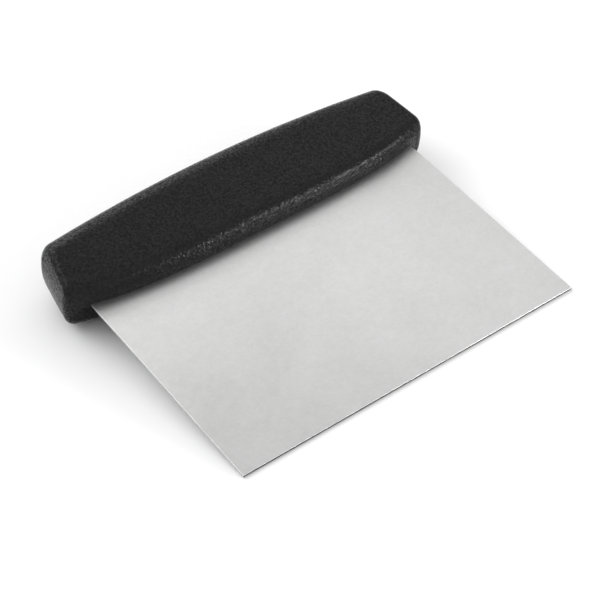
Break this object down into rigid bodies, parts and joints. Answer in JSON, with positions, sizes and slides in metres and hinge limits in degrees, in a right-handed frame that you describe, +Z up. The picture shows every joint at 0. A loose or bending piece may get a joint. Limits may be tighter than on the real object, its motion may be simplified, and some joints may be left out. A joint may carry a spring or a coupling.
{
  "type": "bench scraper",
  "caption": "Bench scraper: a flat square-edged steel plate held in a thick black moulded grip that bows along the plate and slopes in at its ends.",
  "frame": {"origin": "centre of the bottom of the whole object, on the surface it lies on", "axes": "+X along the grip and the scraping edge, -Y the way the scraping edge points, +Y towards the grip, +Z up; the scraper lies at rest on the scraping edge's lower corner and the belly of the grip, so the plate rises by 7.6 degrees towards the grip"},
  "size_m": [0.1692, 0.1285, 0.0308],
  "materials": {
    "blade": "satin stainless steel, fine random scratches",
    "grip": "black moulded plastic with a fine spark-eroded grain",
    "core": "plain dark moulded plastic, hidden inside the grip"
  },
  "bodies": {
    "root": {"blade": "blade", "grip_skin": "grip", "core_upper_half": "core", "core_lower_half": "core"}
  },
  "joints": []
}
